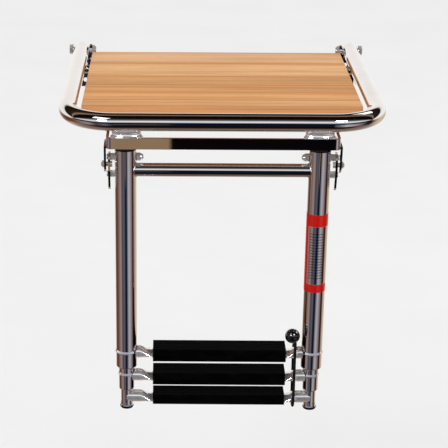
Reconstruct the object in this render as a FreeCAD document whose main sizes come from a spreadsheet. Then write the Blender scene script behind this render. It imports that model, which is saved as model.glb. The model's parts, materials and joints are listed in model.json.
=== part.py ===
"""Folding boat boarding platform with a telescopic three-step ladder.

Frame: +X to the right seen from the water, +Y towards the boat, +Z up.
The origin is the centre of the four transom bolt holes, on the mounting plane.
Lengths are in millimetres.
"""
import FreeCAD, Part
import math
import os

import Sketcher
from FreeCAD import Placement, Rotation, Vector

doc = FreeCAD.newDocument("boarding_ladder")
sheet = doc.addObject("Spreadsheet::Sheet", "Dims")
os.makedirs("parts", exist_ok=True)

# ---------------------------------------------------------------- driving dimensions
DIMENSIONS = {
    # platform frame
    "hinge_height": 53.0,        # platform hinge axis above the bolt pattern's centre
    "hinge_setback": 30.0,       # hinge axis out from the transom plane
    "frame_od": 31.8,
    "frame_wall": 1.5,
    "frame_half": 272.0,         # half the distance between the side tubes' axes
    "frame_depth": 510.0,        # hinge axis to the front tube's axis
    "frame_bend": 84.0,          # bend radius on the tube's axis
    # teak deck
    "deck_rise": 5.0,            # deck's top above the frame's centre plane
    "deck_thick": 14.0,
    "deck_gap": 8.6,             # gap between the deck's edge and the tube's flank
    "deck_rear": 41.0,           # hinge axis to the deck's rear edge
    "bearer_od": 16.0,
    "bearer_wall": 1.2,
    "bearer_back": 92.0,         # hinge axis to the rear bearer
    "bearer_fore": 418.0,        # hinge axis to the front bearer
    "screw_rad": 2.0,
    # transom brackets
    "plate_thick": 5.0,
    "bracket_width": 39.0,
    "bracket_drop": 84.0,        # hinge axis down to the base plate's lower edge
    "bracket_rise": -2.0,        # the brackets' upper edge against the hinge axis
    "bracket_hole": 4.5,         # radius of the four transom holes
    "hole_pitch": 34.0,
    "hinge_pin": 5.0,            # radius of the platform hinge bolts
    # ladder mounting strap
    "strap_half": 201.0,
    "strap_high": 20.0,
    "strap_top": 26.0,           # strap's top edge below the frame's centre plane
    "strap_front": 10.0,         # strap's front face ahead of the front tube's axis
    "strap_arm": 50.0,
    "stub_wide": 50.0,           # at the waist
    "stub_deep": 20.0,
    "stub_half": 166.0,
    # ladder
    "stile_half": 168.0,         # half the distance between the ladder tubes' axes
    "stile_back": 12.0,          # ladder tubes' axes behind the front tube's axis
    "pivot_drop": 79.5,          # ladder pivot below the frame's centre plane
    "pivot_pin": 4.0,
    "outer_od": 38.0,
    "outer_wall": 1.5,
    "outer_top": 52.0,           # these levels are all below the frame's centre plane
    "outer_end": 431.5,
    "middle_od": 28.0,
    "middle_wall": 1.5,
    "middle_top": 125.0,
    "middle_end": 477.3,
    "inner_od": 21.0,
    "inner_wall": 1.5,
    "inner_top": 150.0,
    "inner_end": 541.0,
    "foot_end": 550.5,
    "collar_long": 35.0,
    "bead_high": 6.0,
    "bead_out": 1.2,             # how far the collars' beads stand proud
    "slide_gap": 0.3,            # radial clearance between the telescoping pieces
    "crossbar_od": 24.0,
    "crossbar_drop": 89.5,
    "rung_od": 23.0,
    "rung_wide": 36.0,           # flattened middle of a rung
    "rung_thin": 8.0,
    "rung_sink": 3.0,            # how much lower the flattened middle lies
    "rung_below": 1.3,           # a rung's round ends below its tread's middle
    "rung_one": 436.5,
    "rung_two": 483.0,
    "rung_three": 526.0,
    "tread_half": 120.0,
    "tread_deep": 43.0,
    "tread_high": 24.5,
    "ball_od": 27.0,
    "cord_od": 5.0,
}
for line, (alias, size) in enumerate(DIMENSIONS.items(), start=1):
    sheet.set(f"A{line}", alias)
    sheet.set(f"B{line}", str(size))
    sheet.setAlias(f"B{line}", alias)
doc.recompute()


def value(alias):
    """A driving dimension as a plain number."""
    return float(sheet.get(alias))


def level(below):
    """Height of something given as an expression below the frame's centre plane."""
    return f"Dims.hinge_height - ({below})"


def depth(ahead):
    """Y of something given as an expression ahead of the platform hinge axis."""
    return f"-Dims.hinge_setback - ({ahead})"


FRAME_RAD = "Dims.frame_od / 2"
STILE_Y = depth("Dims.frame_depth - Dims.stile_back")
FRONT_Y = depth("Dims.frame_depth")
ALONG_X = Rotation(Vector(0, 1, 0), 90)
ALONG_MINUS_X = Rotation(Vector(0, 1, 0), -90)
ALONG_Y = Rotation(Vector(1, 0, 0), -90)
UPRIGHT = Rotation()
count = 0


# ---------------------------------------------------------------- building helpers
def new(kind, name=""):
    global count
    count += 1
    return doc.addObject(kind, name or f"shape_{count}")


def place(obj, x="0", y="0", z="0", turn=UPRIGHT):
    obj.Placement = Placement(Vector(), turn)
    for axis, expression in (("x", x), ("y", y), ("z", z)):
        obj.setExpression(f"Placement.Base.{axis}", f"1 mm * ({expression})")
    return obj


def bind(obj, **sizes):
    for prop, expression in sizes.items():
        obj.setExpression(prop, f"1 mm * ({expression})")
    return obj


def box(x, y, z, long, wide, high):
    """A box from its low corner."""
    obj = bind(new("Part::Box"), Length=long, Width=wide, Height=high)
    return place(obj, x, y, z)


def rod(x, y, z, radius, long, turn=UPRIGHT):
    obj = bind(new("Part::Cylinder"), Radius=radius, Height=long)
    return place(obj, x, y, z, turn)


def hexagon(x, y, z, corner, long, turn):
    obj = bind(new("Part::Prism"), Circumradius=corner, Height=long)
    obj.Polygon = 6
    return place(obj, x, y, z, turn)


def ball(x, y, z, radius):
    obj = bind(new("Part::Sphere"), Radius=radius)
    return place(obj, x, y, z)


def fuse(shapes, name=""):
    obj = new("Part::MultiFuse", name)
    obj.Shapes = shapes
    obj.Refine = True
    return obj


def cut(base, tool, name=""):
    obj = new("Part::Cut", name)
    obj.Base = base
    obj.Tool = tool
    return obj


def common(base, tool):
    obj = new("Part::Common")
    obj.Base = base
    obj.Tool = tool
    return obj


def group(shapes):
    obj = new("Part::Compound")
    obj.Links = shapes
    return obj


NODES = {}


def node(name, obj):
    """Name a finished sub-part."""
    obj.Label = name
    NODES[name] = obj
    return obj


HANDS = ((-1, "left"), (1, "right"))


def sides(maker):
    """The left and the right piece of a mirrored pair."""
    return [maker(side) for side, name in HANDS]


# ---------------------------------------------------------------- sketches
def origin_plane(body, role):
    return next(f for f in body.Origin.OriginFeatures if f.Role == role)


def polygon_sketch(body, role, points, holes=()):
    """A closed outline whose corners are bound to expressions, with round or box holes."""
    sketch = body.newObject("Sketcher::SketchObject", f"{body.Name}_sketch")
    sketch.AttachmentSupport = (origin_plane(body, role), "")
    sketch.MapMode = "FlatFace"
    loops = [points] + [hole for hole in holes if len(hole) != 3]
    for loop in loops:
        first = sketch.GeometryCount
        corners = [(number(u), number(v)) for u, v in loop]
        for i, (u, v) in enumerate(corners):
            nu, nv = corners[(i + 1) % len(corners)]
            sketch.addGeometry(Part.LineSegment(Vector(u, v, 0), Vector(nu, nv, 0)), False)
        for i in range(len(corners)):
            after = first + (i + 1) % len(corners)
            sketch.addConstraint(Sketcher.Constraint("Coincident", first + i, 2, after, 1))
        for i, (u, v) in enumerate(loop):
            for kind, expression in (("DistanceX", u), ("DistanceY", v)):
                at = sketch.addConstraint(
                    Sketcher.Constraint(kind, -1, 1, first + i, 1, number(expression)))
                sketch.setExpression(f"Constraints[{at}]", f"1 mm * ({expression})")
    for u, v, radius in [hole for hole in holes if len(hole) == 3]:
        at = sketch.addGeometry(
            Part.Circle(Vector(number(u), number(v), 0), Vector(0, 0, 1), number(radius)), False)
        for kind, expression in (("DistanceX", u), ("DistanceY", v)):
            bound = sketch.addConstraint(Sketcher.Constraint(kind, -1, 1, at, 3, number(expression)))
            sketch.setExpression(f"Constraints[{bound}]", f"1 mm * ({expression})")
        bound = sketch.addConstraint(Sketcher.Constraint("Radius", at, number(radius)))
        sketch.setExpression(f"Constraints[{bound}]", f"1 mm * ({radius})")
    return sketch


scratch_cell = f"C{len(DIMENSIONS) + 5}"


def number(expression):
    """What an expression comes to now."""
    text = str(expression)
    for alias in sorted(DIMENSIONS, key=len, reverse=True):
        text = text.replace(f"Dims.{alias}", alias)
    sheet.set(scratch_cell, f"={text}")
    sheet.recompute()
    return float(sheet.get(scratch_cell))


def padded(name, role, points, long, holes=(), middle=False):
    """A PartDesign body: an outline padded to a length."""
    body = new("PartDesign::Body", name)
    sketch = polygon_sketch(body, role, points, holes)
    pad = body.newObject("PartDesign::Pad", f"{body.Name}_pad")
    pad.Profile = sketch
    pad.Midplane = middle
    pad.setExpression("Length", f"1 mm * ({long})")
    body.Tip = pad
    sketch.Visibility = False
    return body


def turned(name, points):
    """A PartDesign body turned about its own Z axis from an (r, z) outline."""
    body = new("PartDesign::Body", name)
    sketch = polygon_sketch(body, "XZ_Plane", points)
    turn = body.newObject("PartDesign::Revolution", f"{body.Name}_turn")
    turn.Profile = sketch
    turn.ReferenceAxis = (sketch, ["V_Axis"])
    turn.Angle = 360.0
    body.Tip = turn
    return body


def rounded(body, radius, chosen):
    """Fillet the edges of a body for which chosen(edge) is true."""
    doc.recompute()
    base = body.Tip
    names = [f"Edge{i}" for i, edge in enumerate(base.Shape.Edges, start=1) if chosen(edge)]
    fillet = body.newObject("PartDesign::Fillet", f"{body.Name}_round")
    fillet.Base = (base, names)
    fillet.setExpression("Radius", f"1 mm * ({radius})")
    body.Tip = fillet
    return body


# ---------------------------------------------------------------- platform frame
def frame_solid(radius):
    """The bent tube's path at a given radius, with domed ends at the hinge axis."""
    straight = "Dims.frame_depth - Dims.frame_bend"
    bend_x = "Dims.frame_half - Dims.frame_bend"
    pieces = []
    for side in (-1, 1):
        x = f"{side} * Dims.frame_half"
        pieces.append(rod(x, depth(straight), level("0"), radius, straight, ALONG_Y))
        pieces.append(ball(x, depth("0"), level("0"), radius))
        bend = bind(new("Part::Torus"), Radius1="Dims.frame_bend", Radius2=radius)
        bend.Angle3 = 90
        turn = Rotation(Vector(0, 0, 1), 180 if side < 0 else 270)
        pieces.append(place(bend, f"{side} * ({bend_x})", depth(straight), level("0"), turn))
    pieces.append(rod(f"-({bend_x})", FRONT_Y, level("0"), radius, f"2 * ({bend_x})", ALONG_X))
    return fuse(pieces)


def hinge_bore(radius):
    reach = "Dims.frame_half + 30"
    return rod(f"-({reach})", depth("0"), level("0"), radius, f"2 * ({reach})", ALONG_X)


hollow_frame = cut(frame_solid(FRAME_RAD), frame_solid("Dims.frame_od / 2 - Dims.frame_wall"))
node("platform_frame_tube", cut(hollow_frame, hinge_bore("Dims.hinge_pin + 0.08")))


SCREW_SPOTS = (-0.78, -0.27, 0.27, 0.78)     # across the deck, as fractions of the half width


def bearer(ahead):
    """A cross tube under the deck, its ends coped round the side tubes."""
    below = "Dims.deck_thick - Dims.deck_rise + Dims.bearer_od / 2"
    half = "Dims.frame_half - 4"
    axis = dict(y=depth(ahead), z=level(below), turn=ALONG_X, x=f"-({half})", long=f"2 * ({half})")
    tube = cut(rod(radius="Dims.bearer_od / 2", **axis),
               rod(radius="Dims.bearer_od / 2 - Dims.bearer_wall", **axis))
    flanks = group([rod(f"{side} * Dims.frame_half", depth("Dims.frame_depth - Dims.frame_bend"),
                        level("0"), "Dims.frame_od / 2 + 0.02",
                        "Dims.frame_depth - Dims.frame_bend", ALONG_Y) for side in (-1, 1)])
    holes = [rod(f"{spot} * Dims.frame_half", depth(ahead), level(f"{below} + 12"),
                 "Dims.screw_rad + 0.3", "24") for spot in SCREW_SPOTS]
    return cut(cut(tube, flanks), group(holes))


BEARERS = {"rear": "Dims.bearer_back", "front": "Dims.bearer_fore"}
for end, ahead in BEARERS.items():
    node(f"cross_bearer_{end}", bearer(ahead))


# ---------------------------------------------------------------- teak deck
DECK_HALF = "Dims.frame_half - Dims.frame_od / 2 - Dims.deck_gap"
DECK_FRONT = "Dims.frame_depth - Dims.frame_od / 2 - Dims.deck_gap"
CORNER = "Dims.frame_bend - Dims.frame_od / 2 - Dims.deck_gap"
# the joints between staves, ahead of the hinge axis as fractions of the frame's depth
STAVE_JOINTS = (0.252, 0.443, 0.562, 0.663, 0.761, 0.836)


def deck_blank():
    """The whole deck's outline, its two front corners rounded to follow the tube's bends."""
    blank = box(f"-({DECK_HALF})", depth(DECK_FRONT), level("-Dims.deck_rise + Dims.deck_thick"),
                f"2 * ({DECK_HALF})", f"{DECK_FRONT} - Dims.deck_rear", "Dims.deck_thick")
    doc.recompute()
    front = -value("hinge_setback") - number(DECK_FRONT)
    round_off = new("Part::Fillet")
    round_off.Base = blank
    picks = []
    for i, edge in enumerate(blank.Shape.Edges, start=1):
        ends = [vertex.Point for vertex in edge.Vertexes]
        upright = abs(ends[0].x - ends[1].x) < 0.01 and abs(ends[0].y - ends[1].y) < 0.01
        if upright and abs(ends[0].y - front) < 0.01:
            picks.append((i, number(CORNER), number(CORNER)))
    round_off.Edges = picks
    return round_off


deck = deck_blank()
joints = ["Dims.deck_rear"] + [f"{part} * Dims.frame_depth" for part in STAVE_JOINTS] + [DECK_FRONT]
screw_holes = group([
    rod(f"{spot} * Dims.frame_half", depth(ahead), level("Dims.deck_thick - Dims.deck_rise + 1"),
        "Dims.screw_rad", "10") for ahead in BEARERS.values() for spot in SCREW_SPOTS])
for i in range(len(joints) - 1):
    blank = box("-Dims.frame_half", depth(joints[i + 1]), level("30"),
                "2 * Dims.frame_half", f"{joints[i + 1]} - ({joints[i]})", "60")
    node(f"teak_stave_{i + 1}", cut(common(deck, blank), screw_holes))


def deck_screw(spot, ahead):
    """A pan-head screw driven up through a bearer into the deck."""
    under = "Dims.deck_thick - Dims.deck_rise + Dims.bearer_od"
    x = f"{spot} * Dims.frame_half"
    shank = rod(x, depth(ahead), level(under), "Dims.screw_rad", "Dims.bearer_od + 9")
    head = rod(x, depth(ahead), level(f"{under} + 2.5"), "Dims.screw_rad * 2.2", "2.5")
    return fuse([shank, head])


node("deck_screws", group([deck_screw(spot, ahead)
                           for ahead in BEARERS.values() for spot in SCREW_SPOTS]))


# ---------------------------------------------------------------- transom brackets
EAR_X = "Dims.frame_half - Dims.frame_od / 2 - 1"      # ear's outer face, past a nylon washer


def bracket(side):
    """Base plate on the transom, an ear inside the tube and a shelf under it."""
    plate_in = f"{EAR_X} - 8"
    plate_x = plate_in if side > 0 else f"-({plate_in}) - Dims.bracket_width"
    plate = box(plate_x, "-Dims.plate_thick", level("Dims.bracket_drop"), "Dims.bracket_width",
                "Dims.plate_thick", "Dims.bracket_drop + Dims.bracket_rise")
    ear_x = f"{EAR_X} - Dims.plate_thick" if side > 0 else f"-({EAR_X})"
    ear = box(ear_x, "-Dims.hinge_setback", level("40"), "Dims.plate_thick",
              "Dims.hinge_setback", "40 + Dims.bracket_rise")
    nose = rod(ear_x, depth("0"), level("0"), "11", "Dims.plate_thick", ALONG_X)
    gusset = box(ear_x, depth("11"), level("40"), "Dims.plate_thick", "20", "40")
    shelf_in = f"{EAR_X} - Dims.plate_thick"
    shelf_x = shelf_in if side > 0 else f"-({shelf_in}) - 34"
    shelf = box(shelf_x, depth("17"), level(f"{FRAME_RAD} + 0.4 + Dims.plate_thick"),
                "34", "Dims.hinge_setback + 17", "Dims.plate_thick")
    holes = group([rod(f"{side} * ({plate_in} + Dims.bracket_width / 2)", "-2 * Dims.plate_thick",
                       f"{row} * Dims.hole_pitch / 2", "Dims.bracket_hole",
                       "3 * Dims.plate_thick", ALONG_Y) for row in (-1, 1)])
    body = cut(fuse([plate, ear, nose, gusset, shelf]), holes)
    return cut(body, hinge_bore("Dims.hinge_pin"))


for side, name in HANDS:
    node(f"transom_bracket_{name}", bracket(side))


def outward(side):
    return ALONG_X if side > 0 else ALONG_MINUS_X


def hinge_bolt(side):
    """Hexagon-head bolt from outside the tube to past the nut."""
    flank = "Dims.frame_half + Dims.frame_od / 2 + 1.7"
    tip = f"{EAR_X} - Dims.plate_thick - 7.6"
    shank = rod(f"{side} * ({tip})", depth("0"), level("0"), "Dims.hinge_pin",
                f"{flank} - ({tip})", outward(side))
    head = hexagon(f"{side} * ({flank})", depth("0"), level("0"), "9.8", "6.4", outward(side))
    return fuse([shank, head])


def hinge_nut(side):
    """Locking nut with its round nylon collar, on the inner face of the ear."""
    face = f"{EAR_X} - Dims.plate_thick"
    inward = outward(-side)
    nut = hexagon(f"{side} * ({face} - 0.1)", depth("0"), level("0"), "9.2", "4.8", inward)
    collar = rod(f"{side} * ({face} - 4.9)", depth("0"), level("0"), "6.9", "2", inward)
    return cut(fuse([nut, collar]), hinge_bore("Dims.hinge_pin"))


def ring(x, y, z, outer, inner, long, turn):
    return cut(rod(x, y, z, outer, long, turn), rod(x, y, z, inner, long, turn))


def hinge_washers(side):
    """A nylon washer between tube and ear, and a steel one under the bolt's head."""
    inner_face = f"{side} * ({EAR_X})"
    outer_face = f"{side} * (Dims.frame_half + Dims.frame_od / 2 + 0.3)"
    bore = "Dims.hinge_pin + 0.05"
    return [ring(inner_face, depth("0"), level("0"), "10", bore, "0.7", outward(side)),
            ring(outer_face, depth("0"), level("0"), "10.5", bore, "1.4", outward(side))]


node("platform_hinge_bolts", group(sides(hinge_bolt)))
node("platform_hinge_nuts", group(sides(hinge_nut)))
node("platform_hinge_washers", group(sum(sides(hinge_washers), [])))


# ---------------------------------------------------------------- strap, stand-offs and lugs
STRAP_Y = depth("Dims.frame_depth + Dims.strap_front")


def strap_shell(inset, corner):
    """One outline of the flat bar, a U seen from above, as a filleted box."""
    # the inner outline runs past the arms' ends so that the bar stays open at the back
    blank = box(f"-(Dims.strap_half - {inset})", f"{STRAP_Y} + {inset}",
                level("Dims.strap_top + Dims.strap_high"), f"2 * (Dims.strap_half - {inset})",
                "Dims.strap_arm", "Dims.strap_high")
    doc.recompute()
    front = blank.Shape.BoundBox.YMin
    shell = new("Part::Fillet")
    shell.Base = blank
    picks = []
    for i, edge in enumerate(blank.Shape.Edges, start=1):
        ends = [vertex.Point for vertex in edge.Vertexes]
        if abs(ends[0].z - ends[1].z) > 1 and abs(ends[0].y - front) < 0.01:
            picks.append((i, corner, corner))
    shell.Edges = picks
    return shell


node("hinge_strap", cut(strap_shell("0", 8.5), strap_shell("Dims.plate_thick", 3.5)))


# waisted stand-off: level below the frame's centre plane, and by how much it swells there
STANDOFF_WAIST = ((9.0, 4.0), (14.0, 1.6), (18.5, 0.0), (22.5, 0.9), (26.0, 3.4))


def standoff(side):
    """Waisted oval spool welded between the front tube and the strap's top edge."""
    mid_y = depth("Dims.frame_depth - 1")
    ovals = []
    for below, swell in STANDOFF_WAIST:
        oval = bind(new("Part::Ellipse"), MajorRadius=f"Dims.stub_wide / 2 + {swell}",
                    MinorRadius=f"Dims.stub_deep / 2 + {swell}")
        ovals.append(place(oval, f"{side} * Dims.stub_half", mid_y, level(below)))
    spool = new("Part::Loft")
    spool.Sections = ovals
    spool.Solid = True
    tube = rod("-Dims.frame_half", FRONT_Y, level("0"), "Dims.frame_od / 2 + 0.02",
               "2 * Dims.frame_half", ALONG_X)
    return cut(spool, tube)


for side, name in HANDS:
    node(f"standoff_{name}", standoff(side))


LUG_THICK = "4"
PIVOT_Z = level("Dims.pivot_drop")


def shifted(base, by):
    return f"{base} + ({by})"


def side_lug(side, name):
    """Plate welded outside a strap arm; its lower end carries the ladder's pivot."""
    outline = [("-17", "37.5"), ("26", "37.5"), ("26", "2"), ("18", "-9"), ("7", "-13.5"),
               ("-4", "-12.5"), ("-11", "-6"), ("-15", "8")]
    points = [(shifted(STILE_Y, u), shifted(PIVOT_Z, v)) for u, v in outline]
    hole = (STILE_Y, PIVOT_Z, "Dims.pivot_pin + 0.08")
    body = padded(f"lug_{name}", "YZ_Plane", points, LUG_THICK, [hole])
    start = "Dims.strap_half" if side > 0 else f"-Dims.strap_half - {LUG_THICK}"
    return place(body, x=start)


for side, name in HANDS:
    node(f"side_lug_{name}", side_lug(side, name))


# ---------------------------------------------------------------- upper ladder section
def stile_x(side):
    return f"{side} * Dims.stile_half"


def stile(side, top, end, outer, wall):
    """One upright tube of a section."""
    low = level(end)
    long = f"{end} - {top}"
    return cut(rod(stile_x(side), STILE_Y, low, f"{outer} / 2", long),
               rod(stile_x(side), STILE_Y, low, f"{outer} / 2 - {wall}", long))


UPPER_BOLT_Z = level("Dims.pivot_drop - 13.5")
LOWER_BOLT_Z = level("Dims.pivot_drop + 17.5")
PLATE_PIN = "3"
PLATE_BORE = "3.05"


def outer_tube(side):
    tube = cut(stile(side, "Dims.outer_top", "Dims.outer_end", "Dims.outer_od", "Dims.outer_wall"),
               rod("-220", STILE_Y, UPPER_BOLT_Z, PLATE_BORE, "440", ALONG_X))
    entry = rod(f"{side} * (Dims.stile_half + 10)", STILE_Y, LOWER_BOLT_Z, PLATE_BORE, "20",
                outward(side))
    return cut(tube, entry)


for side, name in HANDS:
    node(f"outer_tube_{name}", outer_tube(side))


def tube_cap(side):
    """Flanged plug closing the top of an outer tube."""
    top = level("Dims.outer_top")
    flange = rod(stile_x(side), STILE_Y, top, "Dims.outer_od / 2 - 0.4", "2")
    stem = rod(stile_x(side), STILE_Y, f"{top} - 7", "Dims.outer_od / 2 - Dims.outer_wall - 0.05", "7")
    return fuse([flange, stem])


node("outer_tube_caps", group(sides(tube_cap)))


def crossbar():
    """Round bar tube between the outer tubes, coped to them."""
    axis = dict(x="-Dims.stile_half", y=STILE_Y, z=level("Dims.crossbar_drop"),
                long="2 * Dims.stile_half", turn=ALONG_X)
    tube = cut(rod(radius="Dims.crossbar_od / 2", **axis),
               rod(radius="Dims.crossbar_od / 2 - Dims.outer_wall", **axis))
    stiles = group([rod(stile_x(side), STILE_Y, level("200"), "Dims.outer_od / 2 + 0.02", "180")
                    for side in (-1, 1)])
    return cut(tube, stiles)


node("crossbar", crossbar())


def collar(side, name, outer, wall, inner, end):
    """Ferrule under a tube: a spigot up inside it, a raised bead and a rounded lower lip."""
    bore = f"{inner} / 2 + Dims.slide_gap"
    skin = f"{outer} / 2"
    spigot = f"{outer} / 2 - {wall} - 0.05"
    points = [(bore, "-Dims.collar_long"), (skin, "-Dims.collar_long"), (skin, "-Dims.bead_high"),
              (f"{skin} + Dims.bead_out", "-Dims.bead_high + 1.6"),
              (f"{skin} + Dims.bead_out", "-3.6"), (skin, "0"),
              (spigot, "0"), (spigot, "18"), (bore, "18")]
    body = turned(name, points)

    def lower_lip(edge):
        low = edge.BoundBox.ZMax < number("-Dims.collar_long") + 0.01
        return low and edge.BoundBox.XMax > number(skin) - 0.01

    rounded(body, "2.6", lower_lip)
    return place(body, stile_x(side), STILE_Y, level(end))


for side, name in HANDS:
    node(f"outer_collar_{name}", collar(side, f"collar_o_{name}", "Dims.outer_od",
                                        "Dims.outer_wall", "Dims.middle_od", "Dims.outer_end"))


# ---------------------------------------------------------------- rungs and treads
def rung_section(x, below, flatness, shrink):
    """A rung's outline at one x: round where flatness is 0, wide, thin and lower where it is 1."""
    half_wide = f"(1 - {flatness}) * Dims.rung_od / 2 + {flatness} * Dims.rung_wide / 2 - {shrink}"
    half_thin = f"(1 - {flatness}) * Dims.rung_od / 2 + {flatness} * Dims.rung_thin / 2 - {shrink}"
    oval = bind(new("Part::Ellipse"), MajorRadius=f"{half_wide} + 0.001", MinorRadius=half_thin)
    # the oval's normal lies along X and its long axis along Y
    turn = Rotation(Vector(1, 1, 1), 120)
    return place(oval, x, STILE_Y, f"{level(below)} - {flatness} * Dims.rung_sink", turn)


def loft(sections, ruled):
    made = new("Part::Loft")
    made.Sections = sections
    made.Solid = True
    made.Ruled = ruled
    return made


# how flat a rung is on its way from the stile to the tread, and the share of the way
RUNG_EASE = ((0.0, 0.0), (0.25, 0.12), (0.5, 0.5), (0.75, 0.88), (1.0, 1.0))


def rung_skin(below, shrink):
    """Round at the stiles, easing into a flat bar between the treads' ends."""
    start = 146.0
    finish = value("tread_half") - 2.0
    parts = [loft([rung_section(f"{side * finish}", below, 1.0, shrink) for side in (-1, 1)], True)]
    for side in (-1, 1):
        ease = [rung_section(f"{side * (start + share * (finish - start))}", below, flatness, shrink)
                for share, flatness in RUNG_EASE]
        parts.append(loft(ease, False))
        ends = (f"{side * start}", f"{side} * Dims.stile_half")
        parts.append(loft([rung_section(x, below, 0.0, shrink) for x in ends], True))
    return fuse(parts)


def rung(below, outer, bead):
    """A rung coped round the stiles, whose raised beads stand out by a given height."""
    hollow = cut(rung_skin(below, "0"), rung_skin(below, "1.5"))
    stiles = group([rod(stile_x(side), STILE_Y, level(f"{below} + 30"),
                        f"{outer} / 2 + {bead} + 0.02", "60") for side in (-1, 1)])
    return cut(hollow, stiles)


RIBS = 5


def tread_outline(high, deep):
    """Side view of a tread: chamfered corners and shallow grip grooves along its top."""
    half_deep = f"({deep}) / 2"
    half_high = f"({high}) / 2"
    points = [(f"-({half_deep})", f"-({half_high} - 2)"), (f"-({half_deep} - 2)", f"-({half_high})"),
              (f"{half_deep} - 2", f"-({half_high})"), (half_deep, f"-({half_high} - 2)"),
              (half_deep, f"{half_high} - 2"), (f"{half_deep} - 2", half_high)]
    pitch = f"(({deep}) - 4) / {RIBS}"
    for i in range(RIBS - 1, 0, -1):
        middle = f"-({half_deep} - 2) + {i} * ({pitch})"
        points += [(f"{middle} + 1.3", half_high), (f"{middle} + 0.8", f"{half_high} - 0.8"),
                   (f"{middle} - 0.8", f"{half_high} - 0.8"), (f"{middle} - 1.3", half_high)]
    points += [(f"-({half_deep} - 2)", half_high), (f"-({half_deep})", f"{half_high} - 2")]
    return points


def tread(name, below, high, deep):
    """Black plastic step moulded round the flattened rung."""
    slot_u = "Dims.rung_wide / 2 + 0.3"
    middle = "-Dims.rung_sink - Dims.rung_below"
    slot_low = f"{middle} - Dims.rung_thin / 2 - 0.3"
    slot_high = f"{middle} + Dims.rung_thin / 2 + 0.3"
    slot = [(f"-({slot_u})", slot_low), (slot_u, slot_low), (slot_u, slot_high),
            (f"-({slot_u})", slot_high)]
    body = padded(name, "YZ_Plane", tread_outline(high, deep), "2 * Dims.tread_half", [slot], True)
    return place(body, "0", STILE_Y, level(below))


BEAD = "Dims.bead_out"
node("upper_rung", rung("Dims.rung_one + Dims.rung_below", "Dims.outer_od", BEAD))
node("middle_rung", rung("Dims.rung_two + Dims.rung_below", "Dims.middle_od", BEAD))
node("lower_rung", rung("Dims.rung_three + Dims.rung_below", "Dims.inner_od", 0))
node("upper_tread", tread("tread_one", "Dims.rung_one", "Dims.tread_high", "Dims.tread_deep"))
node("middle_tread", tread("tread_two", "Dims.rung_two", "Dims.tread_high", "Dims.tread_deep"))
node("lower_tread", tread("tread_three", "Dims.rung_three", "Dims.tread_high - 4.5",
                          "Dims.tread_deep - 3.5"))


# ---------------------------------------------------------------- ladder hinge hardware
PLATE_IN = "194"                # inner face of the ladder's hinge plates
PLATE_THICK = "4"


def hinge_plate(side, name):
    """Long plate bolted beside an outer tube, round above and pointed below."""
    points = []
    for step in range(0, 11):
        angle = math.radians(18 * step)
        points.append((f"{15 * math.cos(angle):.4f}", f"{8 + 15 * math.sin(angle):.4f}"))
    points += [("-15", "-8"), ("-7", "-40"), ("0", "-46"), ("7", "-40"), ("15", "-8")]
    moved = [(shifted(STILE_Y, u), shifted(PIVOT_Z, v)) for u, v in points]
    holes = [(STILE_Y, PIVOT_Z, "Dims.pivot_pin"), (STILE_Y, UPPER_BOLT_Z, PLATE_BORE),
             (STILE_Y, LOWER_BOLT_Z, PLATE_BORE)]
    body = padded(f"plate_{name}", "YZ_Plane", moved, PLATE_THICK, holes)
    return place(body, x=PLATE_IN if side > 0 else f"-{PLATE_IN} - {PLATE_THICK}")


for side, name in HANDS:
    node(f"hinge_plate_{name}", hinge_plate(side, name))


LUG_FACE = f"Dims.strap_half + {LUG_THICK}"
TUBE_IN = "Dims.stile_half - Dims.outer_od / 2"


def pivot_bolt(side):
    """Pin through hinge plate and lug: a flat head inside the plate, a small nut outside."""
    plate = f"{side} * {PLATE_IN}"
    shank = rod(plate, STILE_Y, PIVOT_Z, "Dims.pivot_pin", f"{LUG_FACE} + 0.3 - {PLATE_IN}",
                outward(side))
    head = rod(plate, STILE_Y, PIVOT_Z, "5.5", "3.2", outward(-side))
    nut = hexagon(f"{side} * ({LUG_FACE} + 0.3)", STILE_Y, PIVOT_Z, "6.4", "3.4", outward(side))
    tip = rod(f"{side} * ({LUG_FACE} + 3.7)", STILE_Y, PIVOT_Z, "3.4", "1.8", outward(side))
    return fuse([shank, head, nut, tip])


def plate_bolt(side, z, tip):
    """Low-headed bolt through a hinge plate and into or through the tube beside it."""
    face = f"{PLATE_IN} + {PLATE_THICK}"
    shank = rod(f"{side} * ({tip})", STILE_Y, z, PLATE_PIN, f"{face} - ({tip})", outward(side))
    head = rod(f"{side} * ({face})", STILE_Y, z, "5", "2.4", outward(side))
    return fuse([shank, head])


def acorn_nut(side):
    """Domed nut on the inner side of an outer tube."""
    inward = outward(-side)
    face = f"{side} * ({TUBE_IN} - 0.1)"
    nut = hexagon(face, STILE_Y, UPPER_BOLT_Z, "7.5", "6.5", inward)
    dome = ball(f"{side} * ({TUBE_IN} - 6.6)", STILE_Y, UPPER_BOLT_Z, "6.2")
    dome_end = rod(face, STILE_Y, UPPER_BOLT_Z, "8", "13", inward)
    bore = rod(f"{side} * ({TUBE_IN} + 1)", STILE_Y, UPPER_BOLT_Z, PLATE_PIN, "10", inward)
    return cut(fuse([nut, common(dome, dome_end)]), bore)


def hex_spacer(side, z):
    """Hexagon spacer between an outer tube and its hinge plate, coped to the tube."""
    start = "Dims.stile_half + Dims.outer_od / 2 - 3"
    spacer = hexagon(f"{side} * ({start})", STILE_Y, z, "6.5", f"{PLATE_IN} - ({start})",
                     outward(side))
    tube = rod(stile_x(side), STILE_Y, level("150"), "Dims.outer_od / 2 + 0.02", "120")
    hole = rod(f"{side} * 170", STILE_Y, z, PLATE_BORE, "40", outward(side))
    return cut(cut(spacer, tube), hole)


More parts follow.
